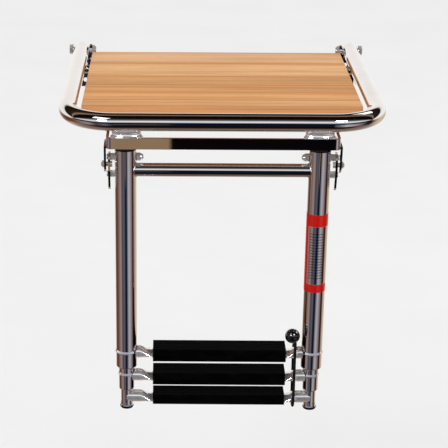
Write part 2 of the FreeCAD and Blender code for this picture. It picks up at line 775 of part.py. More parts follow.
node("pivot_bolts", group(sides(pivot_bolt)))
node("plate_acorn_nuts", group(sides(acorn_nut)))
node("hinge_plate_spacers", group(sides(lambda side: hex_spacer(side, UPPER_BOLT_Z))
                                  + sides(lambda side: hex_spacer(side, LOWER_BOLT_Z))))
node("hinge_plate_bolts", group(
    sides(lambda side: plate_bolt(side, UPPER_BOLT_Z, f"{TUBE_IN} - 9"))
    + sides(lambda side: plate_bolt(side, LOWER_BOLT_Z, "Dims.stile_half + Dims.outer_od / 2 - 4"))))


def label_band():
    """Thin printed sleeve on the front of the right outer tube."""
    sleeve = []
    for radius in ("Dims.outer_od / 2 + 0.2", "Dims.outer_od / 2"):
        wedge = rod(stile_x(1), STILE_Y, level("312.5"), radius, "146.5",
                    Rotation(Vector(0, 0, 1), 170))
        sleeve.append(wedge)
    sleeve[0].Angle = 200
    return cut(sleeve[0], sleeve[1])


node("tube_label", label_band())


# ---------------------------------------------------------------- middle and lower sections
for side, name in HANDS:
    node(f"middle_tube_{name}",
         stile(side, "Dims.middle_top", "Dims.middle_end", "Dims.middle_od", "Dims.middle_wall"))
    node(f"middle_collar_{name}", collar(side, f"collar_m_{name}", "Dims.middle_od",
                                         "Dims.middle_wall", "Dims.inner_od", "Dims.middle_end"))
    node(f"inner_tube_{name}",
         stile(side, "Dims.inner_top", "Dims.inner_end", "Dims.inner_od", "Dims.inner_wall"))


def guide_bush(side, top, outer, wall, inner):
    """Plastic bush on a tube's top end, sliding in the tube round it."""
    start = level(f"{top} + 30")
    flange = rod(stile_x(side), STILE_Y, start, f"{outer} / 2 - {wall} - Dims.slide_gap", "32")
    return cut(flange, rod(stile_x(side), STILE_Y, start, f"{inner} / 2", "30"))


node("middle_guide_bushes", group(sides(lambda side: guide_bush(
    side, "Dims.middle_top", "Dims.outer_od", "Dims.outer_wall", "Dims.middle_od"))))
node("inner_guide_bushes", group(sides(lambda side: guide_bush(
    side, "Dims.inner_top", "Dims.middle_od", "Dims.middle_wall", "Dims.inner_od"))))


def foot_ferrule(side, name):
    """Flared steel ring on the end of an inner tube."""
    skin = "Dims.inner_od / 2"
    points = [(skin, "0"), (f"{skin} + 0.35", "0"), (f"{skin} + 0.6", "-3.5"), (f"{skin} + 1.4", "-6"),
              (skin, "-6")]
    body = turned(f"ferrule_{name}", points)
    return place(body, stile_x(side), STILE_Y, level("Dims.inner_end - 2"))


def foot_plug(side, name):
    """Black plastic plug, domed below, with a stem up inside the tube."""
    bore = "Dims.inner_od / 2 - Dims.inner_wall - 0.05"
    edge = "Dims.inner_od / 2 + 2"
    low = "Dims.inner_end - Dims.foot_end"
    rim = "-4.05"
    points = [("0", low), ("7", low), (f"{edge} - 1.2", f"{low} + 0.7"), (edge, f"{rim} - 2"),
              (f"{edge} - 0.6", rim),
              ("Dims.inner_od / 2 - 0.05", rim), ("Dims.inner_od / 2 - 0.05", "-0.05"),
              (bore, "-0.05"), (bore, "16"), ("0", "16")]
    body = turned(f"plug_{name}", points)
    return place(body, stile_x(side), STILE_Y, level("Dims.inner_end"))


node("foot_ferrules", group([foot_ferrule(-1, "left"), foot_ferrule(1, "right")]))
node("foot_plugs", group([foot_plug(-1, "left"), foot_plug(1, "right")]))


# ---------------------------------------------------------------- retaining loop
# The elastic loop lies in one upright plane beside the treads' right ends. Each point is
# (y, z) from the ladder tubes' axes and the frame's centre plane: down in front of the rungs,
# round under the lowest, up behind them and forward over the highest, back to the ball.
CORD_X = 136.5
CORD_ROUTE = (
    (-18.6, -406.6), (-18.8, -415.0), (-18.4, -425.0), (-17.6, -439.0), (-17.9, -460.0),
    (-17.5, -484.0), (-17.9, -506.0), (-17.7, -522.0), (-15.4, -535.6), (-7.0, -544.2),
    (7.0, -544.2), (15.4, -535.6), (17.7, -522.0), (17.9, -506.0), (17.5, -484.0),
    (17.8, -460.0), (17.2, -440.0), (14.6, -428.0), (7.5, -421.0), (-1.5, -418.0),
    (-9.0, -413.4), (-13.0, -406.6),
)


def cord_tube():
    """Round cord along straight runs joined by tangent arcs as large as the runs allow."""
    away = Vector(CORD_X, number(STILE_Y), value("hinge_height"))
    points = [away + Vector(0, y, z) for y, z in CORD_ROUTE]
    edges = []
    radii = []
    start = points[0]
    for before, corner, after in zip(points, points[1:], points[2:]):
        way_in = (corner - before).normalize()
        way_out = (after - corner).normalize()
        turn = way_in.getAngle(way_out)
        shorter = min((corner - before).Length, (after - corner).Length)
        setback = 0.45 * shorter
        radii.append(setback / math.tan(turn / 2))
        enter = corner - way_in * setback
        leave = corner + way_out * setback
        middle_way = (way_out - way_in).normalize()
        bulge = radii[-1] * (1 / math.cos(turn / 2) - 1)
        edges.append(Part.LineSegment(start, enter).toShape())
        edges.append(Part.Arc(enter, corner + middle_way * bulge, leave).toShape())
        start = leave
    edges.append(Part.LineSegment(start, points[-1]).toShape())
    path = Part.Wire(edges)
    radius = value("cord_od") / 2
    profile = Part.Wire([Part.Circle(points[0], points[1] - points[0], radius).toShape()])
    tube = path.makePipeShell([profile], True, False)
    print("cord length", round(path.Length, 1), "mm, radii", [round(r, 1) for r in radii])
    print("cord volume over section times length",
          round(tube.Volume / (math.pi * radius ** 2 * path.Length), 4))
    return tube


cord = doc.addObject("Part::Feature", "cord")
cord.Shape = cord_tube()
node("bungee_cord", cord)
BALL_X = 131.0
BALL_Z = level("398")
BALL_Y = f"{STILE_Y} - 15.9"
grip = ball(str(BALL_X), BALL_Y, BALL_Z, "Dims.ball_od / 2")
eye = rod(str(CORD_X), BALL_Y, f"{BALL_Z} - 15", "5.3", "6.4")
node("bungee_ball", cut(cut(grip, eye), cord))


# ---------------------------------------------------------------- checks and export
doc.recompute()
for obj in doc.Objects:
    bad = [state for state in obj.State if state in ("Invalid", "Error")]
    if bad:
        raise RuntimeError(f"{obj.Name} ({obj.Label}) is {bad}")
for name, obj in NODES.items():
    shape = obj.Shape
    if shape.isNull() or not shape.isValid() or not shape.Solids:
        raise RuntimeError(f"{name} has no sound shape")
    print(f"{name:26s} solids {len(shape.Solids):2d}  volume {shape.Volume / 1000:9.2f} cm3")
    shape.exportStep(f"parts/{name}.step")
print(len(NODES), "nodes")
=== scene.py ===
"""Looks of the boarding ladder and its platform: camera, materials, welds, loop and studio."""

import json
import math

import bmesh
import bpy
from mathutils import Matrix, Vector

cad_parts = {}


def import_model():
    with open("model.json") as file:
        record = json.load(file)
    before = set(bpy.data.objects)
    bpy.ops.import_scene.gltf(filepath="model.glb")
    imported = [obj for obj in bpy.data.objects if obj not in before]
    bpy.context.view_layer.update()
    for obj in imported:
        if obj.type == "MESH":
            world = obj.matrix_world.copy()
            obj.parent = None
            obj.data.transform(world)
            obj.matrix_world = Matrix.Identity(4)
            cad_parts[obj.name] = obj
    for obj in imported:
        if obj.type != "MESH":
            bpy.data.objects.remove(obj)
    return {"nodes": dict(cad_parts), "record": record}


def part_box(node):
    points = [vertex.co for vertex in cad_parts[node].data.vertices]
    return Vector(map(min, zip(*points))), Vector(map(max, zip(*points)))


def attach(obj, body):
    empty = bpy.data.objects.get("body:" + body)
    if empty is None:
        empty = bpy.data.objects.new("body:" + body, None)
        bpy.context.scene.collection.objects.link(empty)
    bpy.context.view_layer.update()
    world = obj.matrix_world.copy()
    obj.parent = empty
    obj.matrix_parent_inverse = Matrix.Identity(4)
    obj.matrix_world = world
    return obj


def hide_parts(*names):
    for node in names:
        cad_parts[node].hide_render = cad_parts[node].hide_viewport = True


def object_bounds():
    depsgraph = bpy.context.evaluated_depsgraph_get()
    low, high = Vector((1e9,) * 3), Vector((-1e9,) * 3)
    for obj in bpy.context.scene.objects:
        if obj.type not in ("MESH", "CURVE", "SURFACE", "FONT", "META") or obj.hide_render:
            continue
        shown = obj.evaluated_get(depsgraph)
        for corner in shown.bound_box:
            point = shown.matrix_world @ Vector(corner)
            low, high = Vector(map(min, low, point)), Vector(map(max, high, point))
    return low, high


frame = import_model()
cad_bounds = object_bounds()
nodes = frame["nodes"]
MM = 0.001


# ---------------------------------------------------------------- camera
def look(name, place, elevation, azimuth, roll, focal, shift):
    """A camera at a place, aimed by angles; focal and shift are in frame widths."""
    sensor = 36.0
    to_camera = Vector((math.sin(azimuth) * math.cos(elevation),
                        -math.cos(azimuth) * math.cos(elevation), math.sin(elevation)))
    right = Vector((0, 0, 1)).cross(to_camera).normalized()
    up = to_camera.cross(right)
    turned_right = math.cos(roll) * right + math.sin(roll) * up
    turned_up = math.cos(roll) * up - math.sin(roll) * right
    data = bpy.data.cameras.new(name)
    data.sensor_width = sensor
    data.lens = focal * sensor
    data.shift_x = shift
    data.clip_end = 60
    camera = bpy.data.objects.new(name, data)
    axes = Matrix((turned_right, turned_up, to_camera)).transposed().to_4x4()
    camera.matrix_world = Matrix.Translation(place) @ axes
    bpy.context.scene.collection.objects.link(camera)
    bpy.context.scene.camera = camera


look("camera", place=Vector((-0.0895, -2.944, 0.7751)), elevation=math.radians(20.69),
     azimuth=math.radians(0.44), roll=math.radians(0.18), focal=3.276, shift=0.1429)


# ---------------------------------------------------------------- material helpers
def new_material(name):
    """A material with an empty Principled shader: (material, tree, shader)."""
    material = bpy.data.materials.new(name)
    material.use_nodes = True
    tree = material.node_tree
    return material, tree, tree.nodes["Principled BSDF"]


def add(tree, kind, inputs=None, **settings):
    """A node with its sockets set from values or links."""
    made = tree.nodes.new(kind)
    for key, setting in settings.items():
        setattr(made, key, setting)
    for key, given in (inputs or {}).items():
        if isinstance(given, bpy.types.NodeSocket):
            tree.links.new(given, made.inputs[key])
        else:
            made.inputs[key].default_value = given
    return made


def maths(tree, operation, *given):
    """One arithmetic step on numbers or sockets."""
    return add(tree, "ShaderNodeMath", dict(enumerate(given)), operation=operation).outputs[0]


def coordinates(tree, kind):
    """A set of texture coordinates; "Object" is in metres."""
    return tree.nodes.new("ShaderNodeTexCoord").outputs[kind]


def split(tree, vector):
    """The X, Y and Z outputs of a vector."""
    return add(tree, "ShaderNodeSeparateXYZ", {"Vector": vector}).outputs


def stretched_noise(tree, vector, scale, detail, roughness, stretch, warp=0.0):
    """Noise on coordinates that are first scaled per axis."""
    place = add(tree, "ShaderNodeMapping", {"Vector": vector, "Scale": stretch}).outputs[0]
    return add(tree, "ShaderNodeTexNoise", {"Vector": place, "Scale": scale, "Detail": detail,
                                            "Roughness": roughness,
                                            "Distortion": warp}).outputs["Fac"]


def noise(tree, scale, detail, roughness, stretch=(1, 1, 1)):
    """Noise over the object's own coordinates."""
    return stretched_noise(tree, coordinates(tree, "Object"), scale, detail, roughness, stretch)


def ramp(tree, factor, stops):
    """A colour ramp from (position, (r, g, b)) stops."""
    made = add(tree, "ShaderNodeValToRGB", {"Fac": factor})
    elements = made.color_ramp.elements
    elements[0].position, elements[0].color = stops[0][0], (*stops[0][1], 1)
    elements[1].position, elements[1].color = stops[-1][0], (*stops[-1][1], 1)
    for position, colour in stops[1:-1]:
        elements.new(position).color = (*colour, 1)
    return made.outputs["Color"]


def levels(tree, factor, low, high, out_low=0.0, out_high=1.0, smooth=False):
    """A clamped remapping of low..high to out_low..out_high."""
    made = add(tree, "ShaderNodeMapRange", {"Value": factor, "From Min": low, "From Max": high,
                                            "To Min": out_low, "To Max": out_high})
    made.interpolation_type = "SMOOTHSTEP" if smooth else "LINEAR"
    return made.outputs[0]


def blend(tree, factor, first, second, mode="MIX"):
    """Two colours mixed by a factor; each of the three is a value or a socket."""
    made = add(tree, "ShaderNodeMix", data_type="RGBA", blend_type=mode)
    for socket, given in ((made.inputs["Factor"], factor), (made.inputs[6], first),
                          (made.inputs[7], second)):
        if isinstance(given, bpy.types.NodeSocket):
            tree.links.new(given, socket)
        else:
            socket.default_value = given if isinstance(given, float) else (*given, 1)
    return made.outputs[2]


def bump(tree, shader, height, strength, distance):
    """Relief from a height socket; distance is in metres."""
    made = add(tree, "ShaderNodeBump", {"Height": height, "Strength": strength,
                                        "Distance": distance})
    tree.links.new(made.outputs[0], shader.inputs["Normal"])


# ---------------------------------------------------------------- materials
def polished_steel(name, dull):
    """Mirror-polished stainless: faint polishing marks and wipe smears, dull scales both."""
    material, tree, shader = new_material(name)
    shader.inputs["Metallic"].default_value = 1.0
    marks = noise(tree, 900.0, 2.0, 0.6, (1, 1, 0.06))
    smears = noise(tree, 14.0, 4.0, 0.6)
    tint = ramp(tree, smears, [(0.3, (0.80, 0.785, 0.775)), (0.7, (0.87, 0.86, 0.855))])
    tree.links.new(tint, shader.inputs["Base Color"])
    fine = levels(tree, marks, 0.35, 0.75, 0.0, 0.04 * dull)
    wiped = levels(tree, smears, 0.35, 0.8, 0.05 * dull, 0.09 * dull)
    tree.links.new(maths(tree, "ADD", fine, wiped), shader.inputs["Roughness"])
    bump(tree, shader, marks, 0.06 * dull, 0.00004)
    return material


def satin_steel():
    """Pickled stainless of the formed rungs and stand-offs: pale and finely grained."""
    material, tree, shader = new_material("satin_stainless")
    shader.inputs["Metallic"].default_value = 0.75
    grain = noise(tree, 1100.0, 3.0, 0.6, (0.15, 1, 1))
    cloud = noise(tree, 45.0, 3.0, 0.6)
    tint = ramp(tree, cloud, [(0.3, (0.84, 0.81, 0.81)), (0.7, (0.95, 0.93, 0.94))])
    tree.links.new(tint, shader.inputs["Base Color"])
    tree.links.new(levels(tree, grain, 0.3, 0.75, 0.07, 0.15), shader.inputs["Roughness"])
    bump(tree, shader, grain, 0.06, 0.00004)
    return material


def fastener_steel():
    """Bright-rolled stainless of the nuts and bolts, a little duller and finely turned."""
    material, tree, shader = new_material("bright_fasteners")
    shader.inputs["Metallic"].default_value = 0.7
    turned = noise(tree, 1500.0, 3.0, 0.6, (0.2, 1, 1))
    tint = ramp(tree, turned, [(0.3, (0.68, 0.665, 0.65)), (0.7, (0.84, 0.83, 0.82))])
    tree.links.new(tint, shader.inputs["Base Color"])
    tree.links.new(levels(tree, turned, 0.3, 0.8, 0.1, 0.22), shader.inputs["Roughness"])
    bump(tree, shader, turned, 0.12, 0.00005)
    return material


def weld_steel():
    """Weld seams: straw and grey heat tint over fine ripples."""
    material, tree, shader = new_material("weld_seam")
    shader.inputs["Metallic"].default_value = 1.0
    heat = noise(tree, 220.0, 3.0, 0.55)
    tint = ramp(tree, heat, [(0.3, (0.40, 0.33, 0.27)), (0.5, (0.62, 0.58, 0.54)),
                             (0.7, (0.72, 0.70, 0.68))])
    tree.links.new(tint, shader.inputs["Base Color"])
    tree.links.new(levels(tree, heat, 0.3, 0.7, 0.34, 0.2), shader.inputs["Roughness"])
    bump(tree, shader, heat, 0.25, 0.0002)
    return material


def teak(name, light, dark, warm, seed):
    """One oiled teak stave: grain along X, warm streaks (0 to 1) and glue lines at its edges."""
    low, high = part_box(name)
    material, tree, shader = new_material("teak_" + name)
    where = coordinates(tree, "Object")
    slide = Vector((seed * 0.37, seed * 0.211, seed * 0.13))
    drift = add(tree, "ShaderNodeVectorMath", {0: where, 1: slide}, operation="ADD").outputs[0]
    growth = stretched_noise(tree, drift, 62.0, 3.0, 0.55, (0.035, 1.0, 0.6), warp=0.7)
    streak = stretched_noise(tree, drift, 420.0, 3.0, 0.6, (0.018, 1.0, 1.0))
    pores = stretched_noise(tree, drift, 1500.0, 2.0, 0.5, (0.03, 1.0, 1.0))
    patch = stretched_noise(tree, drift, 7.0, 2.0, 0.5, (0.5, 1.0, 1.0))
    middle = tuple(0.5 * (a + b) for a, b in zip(light, dark))
    colour = ramp(tree, growth, [(0.32, dark), (0.47, middle), (0.66, light)])
    shade = ramp(tree, streak, [(0.35, (0.80, 0.75, 0.70)), (0.6, (1.0, 1.0, 1.0))])
    colour = blend(tree, 0.6, colour, shade, "MULTIPLY")
    flecks = ramp(tree, pores, [(0.30, (0.52, 0.42, 0.34)), (0.40, (1.0, 1.0, 1.0))])
    colour = blend(tree, 0.55, colour, flecks, "MULTIPLY")
    broad = ramp(tree, patch, [(0.3, (0.93, 0.90, 0.87)), (0.7, (1.05, 1.04, 1.03))])
    colour = blend(tree, 1.0, colour, broad, "MULTIPLY")
    across = split(tree, where)["Y"]
    inside = maths(tree, "MINIMUM", maths(tree, "SUBTRACT", across, low.y),
                   maths(tree, "SUBTRACT", high.y, across))
    ragged = maths(tree, "MULTIPLY", inside, levels(tree, growth, 0.3, 0.7, 0.6, 1.6))
    streaked = levels(tree, ragged, 0.009, 0.014, warm, 0.0, smooth=True)
    colour = blend(tree, streaked, colour, (0.68, 0.27, 0.055))
    glue = levels(tree, inside, 0.0004, 0.0018, 0.6, 0.0, smooth=True)
    colour = blend(tree, glue, colour, (0.13, 0.055, 0.02))
    # painted shade: faces that turn downwards are multiplied to a darker, shadowed brown, as if the
    # deck's underside lay in shadow
    upward = split(tree, coordinates(tree, "Normal"))["Z"]
    painted_underside_shade = levels(tree, upward, -0.6, -0.4, 1.0, 0.0)
    colour = blend(tree, painted_underside_shade, colour, (0.40, 0.33, 0.29), "MULTIPLY")
    tree.links.new(colour, shader.inputs["Base Color"])
    tree.links.new(levels(tree, streak, 0.3, 0.7, 0.52, 0.38), shader.inputs["Roughness"])
    shader.inputs["Specular IOR Level"].default_value = 0.25
    bump(tree, shader, maths(tree, "ADD", streak, pores), 0.22, 0.00025)
    return material


def moulded_black(name, level, roughness, sparkle):
    """Black plastic with a fine moulded texture and a few scuffs; level is how black it is."""
    material, tree, shader = new_material(name)
    leather = noise(tree, 2600.0, 2.0, 0.5)
    scuffs = noise(tree, 60.0, 5.0, 0.7, (0.4, 1, 1))
    dull = (level, level, level * 1.06)
    rubbed = (level + 0.003, level + 0.003, level + 0.0035)
    tree.links.new(ramp(tree, scuffs, [(0.45, dull), (0.85, rubbed)]), shader.inputs["Base Color"])
    tree.links.new(levels(tree, scuffs, 0.3, 0.8, roughness, roughness + 0.12),
                   shader.inputs["Roughness"])
    shader.inputs["Specular IOR Level"].default_value = sparkle
    bump(tree, shader, leather, 0.18, 0.00012)
    return material


def glossy_ball():
    """Polished black ball with the faintest orange peel."""
    material, tree, shader = new_material("glossy_black_ball")
    peel = noise(tree, 260.0, 2.0, 0.5)
    tint = ramp(tree, peel, [(0.3, (0.001, 0.001, 0.0015)), (0.7, (0.003, 0.003, 0.004))])
    tree.links.new(tint, shader.inputs["Base Color"])
    tree.links.new(levels(tree, peel, 0.3, 0.7, 0.04, 0.09), shader.inputs["Roughness"])
    shader.inputs["Coat Weight"].default_value = 0.9
    shader.inputs["Coat Roughness"].default_value = 0.03
    bump(tree, shader, peel, 0.05, 0.0001)
    return material


def natural_acetal():
    """Milky plastic of the guide bushes."""
    material, tree, shader = new_material("natural_acetal")
    cloud = noise(tree, 120.0, 3.0, 0.5)
    tint = ramp(tree, cloud, [(0.3, (0.62, 0.61, 0.57)), (0.7, (0.70, 0.69, 0.65))])
    tree.links.new(tint, shader.inputs["Base Color"])
    tree.links.new(levels(tree, cloud, 0.3, 0.7, 0.35, 0.5), shader.inputs["Roughness"])
    bump(tree, shader, cloud, 0.1, 0.0001)
    return material


def elastic_braid(diameter):
    """Black woven sleeve of the elastic loop: two sets of strands crossing at a slant."""
    material, tree, shader = new_material("elastic_braid")
    where = split(tree, coordinates(tree, "UV"))
    strands_round = 9.0
    strands_along = 170.0
    strands = []
    for way in (-1, 1):
        run = maths(tree, "MULTIPLY", where["X"], strands_along * math.tau)
        lap = maths(tree, "MULTIPLY", where["Y"], way * strands_round * math.tau)
        strands.append(maths(tree, "SINE", maths(tree, "ADD", run, lap)))
    weave = levels(tree, maths(tree, "MAXIMUM", *strands), -1.0, 1.0)
    fuzz = noise(tree, 2400.0, 2.0, 0.6)
    height = maths(tree, "ADD", weave, maths(tree, "MULTIPLY", fuzz, 0.35))
    # painted shade and highlight: the colour follows the weave's height, darker in the hollows
    # between strands and lighter on their crests; the fuzz adds random tone
    tint = ramp(tree, height, [(0.5, (0.0008, 0.0008, 0.0008)), (1.0, (0.007, 0.007, 0.008))])
    tree.links.new(tint, shader.inputs["Base Color"])
    tree.links.new(levels(tree, fuzz, 0.2, 0.8, 0.6, 0.8), shader.inputs["Roughness"])
    shader.inputs["Specular IOR Level"].default_value = 0.15
    bump(tree, shader, height, 0.5, diameter * 0.05)
    return material


def printed_film():
    """Silver film with two red bands, a thin red edge and plain ruled lines between them."""
    low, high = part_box("tube_label")
    material, tree, shader = new_material("printed_film")
    red = (0.55, 0.008, 0.005)
    dark_ink = (0.12, 0.11, 0.16)
    where = split(tree, coordinates(tree, "Object"))
    across = where["X"]
    down = maths(tree, "SUBTRACT", high.z, where["Z"])
    # print measured down the sleeve from its top, and across it
    length = high.z - low.z
    upper_band_end, lower_band_start, band_fade = 21.9 * MM, length - 15.7 * MM, 0.5 * MM
    red_edge_end, edge_fade = low.x + 3.5 * MM, 0.7 * MM
    rules_top, rules_end, end_fade = 31.0 * MM, length - 26.0 * MM, 0.2 * MM
    rules_left, rules_right, side_fade = low.x + 6.0 * MM, high.x - 7.0 * MM, 0.4 * MM
    rule_pitch = 5.2 * MM

    def past(position, edge, fade):
        """1 past an edge and 0 before it."""
        return levels(tree, position, edge, edge + fade)

    def before(position, edge, fade):
        """1 before an edge and 0 past it."""
        return levels(tree, position, edge, edge + fade, 1.0, 0.0)

    bands = maths(tree, "MAXIMUM", before(down, upper_band_end, band_fade),
                  past(down, lower_band_start, band_fade))
    printed = maths(tree, "MAXIMUM", bands, before(across, red_edge_end, edge_fade))
    ruled = maths(tree, "FRACT", maths(tree, "DIVIDE", down, rule_pitch))
    lines = levels(tree, ruled, 0.68, 0.72)
    inside = maths(tree, "MULTIPLY", past(across, rules_left, side_fade),
                   before(across, rules_right, side_fade))
    field = maths(tree, "MULTIPLY", past(down, rules_top, end_fade),
                  before(down, rules_end, end_fade))
    wear = noise(tree, 700.0, 2.0, 0.5, (1, 1, 0.05))
    grey_lines = maths(tree, "MULTIPLY", maths(tree, "MULTIPLY", lines, inside), field)
    silver = ramp(tree, wear, [(0.3, (0.74, 0.72, 0.74)), (0.7, (0.84, 0.82, 0.84))])
    colour = blend(tree, maths(tree, "MULTIPLY", grey_lines, 0.7), silver, dark_ink)
    colour = blend(tree, printed, colour, red)
    tree.links.new(colour, shader.inputs["Base Color"])
    tree.links.new(levels(tree, printed, 0.0, 1.0, 1.0, 0.1), shader.inputs["Metallic"])
    tree.links.new(levels(tree, wear, 0.3, 0.7, 0.05, 0.12), shader.inputs["Roughness"])
    bump(tree, shader, wear, 0.05, 0.00003)
    return material


def cover(names, material):
    """Give CAD nodes a material."""
    for name in names:
        slots = nodes[name].data.materials
        if len(slots) == 0:
            slots.append(material)
        for index in range(len(slots)):
            slots[index] = material


def members(slot):
    """CAD nodes that the record puts on a material slot."""
    return [part["node"] for part in frame["record"]["subparts"] if part["material_slot"] == slot]


# each stave from the rear: its light tone, its dark tone and the strength of its warm streaks
STAVE_TONES = (
    ("teak_stave_1", (0.86, 0.50, 0.25), (0.66, 0.35, 0.14), 0.8),
    ("teak_stave_2", (0.87, 0.49, 0.21), (0.69, 0.35, 0.12), 0.8),
    ("teak_stave_3", (0.70, 0.34, 0.10), (0.52, 0.23, 0.06), 0.35),
    ("teak_stave_4", (0.76, 0.36, 0.10), (0.53, 0.22, 0.055), 0.85),
    ("teak_stave_5", (0.84, 0.42, 0.14), (0.66, 0.30, 0.09), 0.75),
    ("teak_stave_6", (0.80, 0.41, 0.15), (0.63, 0.30, 0.09), 0.2),
    ("teak_stave_7", (0.73, 0.31, 0.085), (0.54, 0.21, 0.045), 0.3),
)
cover(members("polished_steel"), polished_steel("polished_stainless", 0.5))
cover(["hinge_strap"], polished_steel("mirror_stainless", 0.15))
cover(["upper_rung", "middle_rung", "lower_rung", "standoff_left", "standoff_right"], satin_steel())
cover(members("fastener_steel"), fastener_steel())
cover(members("tread_plastic"), moulded_black("tread_black", 0.0006, 0.5, 0.015))
cover(members("black_plastic"), moulded_black("plug_black", 0.002, 0.4, 0.1))
cover(members("bush_plastic"), natural_acetal())
cover(members("ball_plastic"), glossy_ball())
cover(members("label_film"), printed_film())
for seed, (stave, light, dark, warm) in enumerate(STAVE_TONES, start=1):
    cover([stave], teak(stave, light, dark, warm, seed))


# ---------------------------------------------------------------- weld seams
WELD_METAL = weld_steel()
SEAM_STEPS = 72


def middle_of(name):
    """Centre of a CAD node's box."""
    low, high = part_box(name)
    return (low + high) / 2


def half_span(name, axis):
    """Half of a CAD node's size along an axis."""
    low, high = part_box(name)
    return (high[axis] - low[axis]) / 2


def seam_turns():
    """Angles once round a seam."""
    return [math.tau * i / SEAM_STEPS for i in range(SEAM_STEPS)]


def weld_ring(name, body, path, thick):
    """A closed, rippled bead of weld along a loop of points."""
    mesh = bpy.data.meshes.new(name)
    shape = bmesh.new()
    around = 8
    ripple, ripple_turn = 0.16, 2.1
    rings = []
    for i, point in enumerate(path):
        along = (path[(i + 1) % len(path)] - path[i - 1]).normalized()
        side = along.orthogonal().normalized()
        if i:
            side = (last_side - along * last_side.dot(along)).normalized()
        last_side = side
        over = along.cross(side)
        swell = thick * (1.0 + ripple * math.sin(ripple_turn * i))
        turns = [math.tau * k / around for k in range(around)]
        rings.append([shape.verts.new(point + swell * (math.cos(t) * side + math.sin(t) * over))
                      for t in turns])
    for i, ring in enumerate(rings):
        after = rings[(i + 1) % len(rings)]
        # the last ring meets the first at the nearest start of its turn
        slip = 0
        if after is rings[0]:
            slip = min(range(around), key=lambda k: (after[k].co - ring[0].co).length)
        for k in range(around):
            shape.faces.new((ring[k], ring[(k + 1) % around],
                             after[(k + 1 + slip) % around], after[(k + slip) % around]))
    bmesh.ops.recalc_face_normals(shape, faces=shape.faces)
    for face in shape.faces:
        face.smooth = True
    shape.to_mesh(mesh)
    shape.free()
    mesh.materials.append(WELD_METAL)
    seam = bpy.data.objects.new(name, mesh)
    bpy.context.scene.collection.objects.link(seam)
    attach(seam, body)


def saddle(centre, post_radius, bar_radius, side):
    """Where a level bar along X meets the side of an upright post, as a loop of points."""
    loop = []
    for turn in seam_turns():
        y = bar_radius * math.cos(turn)
        x = side * math.sqrt(max(post_radius ** 2 - y ** 2, 0.0))
        loop.append(centre + Vector((x, y, bar_radius * math.sin(turn))))
    return loop


def crossbar_welds():
    """Beads where the crossbar meets the ladder's outer tubes."""
    bar = middle_of("crossbar")
    for hand, inward in (("left", 1), ("right", -1)):
        post = middle_of(f"outer_tube_{hand}")
        centre = Vector((post.x, post.y, bar.z))
        post_radius = half_span(f"outer_tube_{hand}", 0)
        loop = saddle(centre, post_radius, half_span("crossbar", 2), inward)
        weld_ring(f"crossbar_weld_{hand}", "ladder_upper", loop, 1.1 * MM)


def standoff_welds():
    """Oval beads where the stand-offs sit on the strap."""
    seam_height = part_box("hinge_strap")[1].z + 0.4 * MM
    for hand in ("left", "right"):
        middle = middle_of(f"standoff_{hand}")
        wide = 0.92 * half_span(f"standoff_{hand}", 0)
        deep = 0.84 * half_span(f"standoff_{hand}", 1)
        loop = [Vector((middle.x + wide * math.cos(turn), middle.y + deep * math.sin(turn),
                        seam_height)) for turn in seam_turns()]
        weld_ring(f"standoff_weld_{hand}", "platform", loop, 0.9 * MM)


# ---------------------------------------------------------------- elastic loop
# The route's points are (y, z) in millimetres from the ladder tubes' axes and the platform
# tube's centre plane, the same as the CAD tube's.
CORD_X = 136.5
CORD_ROUTE = (
    (-18.6, -406.6), (-18.8, -415.0), (-18.4, -425.0), (-17.6, -439.0), (-17.9, -460.0),
    (-17.5, -484.0), (-17.9, -506.0), (-17.7, -522.0), (-15.4, -535.6), (-7.0, -544.2),
    (7.0, -544.2), (15.4, -535.6), (17.7, -522.0), (17.9, -506.0), (17.5, -484.0),
    (17.8, -460.0), (17.2, -440.0), (14.6, -428.0), (7.5, -421.0), (-1.5, -418.0),
    (-9.0, -413.4), (-13.0, -406.6),
)


def elastic_loop():
    """The cord round the three rungs, both ends in the ball."""
    stile = middle_of("outer_tube_right")
    plane = middle_of("platform_frame_tube").z
    points = [Vector((CORD_X * MM, stile.y + y * MM, plane + z * MM)) for y, z in CORD_ROUTE]
    low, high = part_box("bungee_cord")
    diameter = high.x - low.x
    data = bpy.data.curves.new("elastic_loop", "CURVE")
    data.dimensions = "3D"
    data.bevel_depth = diameter / 2
    data.bevel_resolution = 6
    data.resolution_u = 16
    data.use_fill_caps = True
    spline = data.splines.new("NURBS")
    spline.points.add(len(points) - 1)
    for slot, point in zip(spline.points, points):
        slot.co = (*point, 1)
    spline.order_u = 3
    spline.use_endpoint_u = True
    loop = bpy.data.objects.new("elastic_loop", data)
    bpy.context.scene.collection.objects.link(loop)
    data.materials.append(elastic_braid(diameter))
    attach(loop, "ladder_upper")
    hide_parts("bungee_cord")


crossbar_welds()
standoff_welds()
elastic_loop()


# ---------------------------------------------------------------- studio
def floor():
    """A wide pale floor well below the ladder pulled out; mirrors don't see it."""
    mesh = bpy.data.meshes.new("floor")
    reach = 30.0
    drop = 0.62
    below = cad_bounds[0][2] - drop
    corners = [(-reach, -reach, below), (reach, -reach, below), (reach, reach, below),
               (-reach, reach, below)]
    mesh.from_pydata(corners, [], [(0, 1, 2, 3)])
    ground = bpy.data.objects.new("floor", mesh)
    bpy.context.scene.collection.objects.link(ground)
    material, tree, shader = new_material("pale_floor")
    mottle = noise(tree, 3.0, 2.0, 0.5)
    tree.links.new(ramp(tree, mottle, [(0.3, (0.84, 0.84, 0.84)), (0.7, (0.86, 0.86, 0.86))]),
                   shader.inputs["Base Color"])
    shader.inputs["Roughness"].default_value = 0.9
    shader.inputs["Specular IOR Level"].default_value = 0.0
    mesh.materials.append(material)
    ground.visible_glossy = False


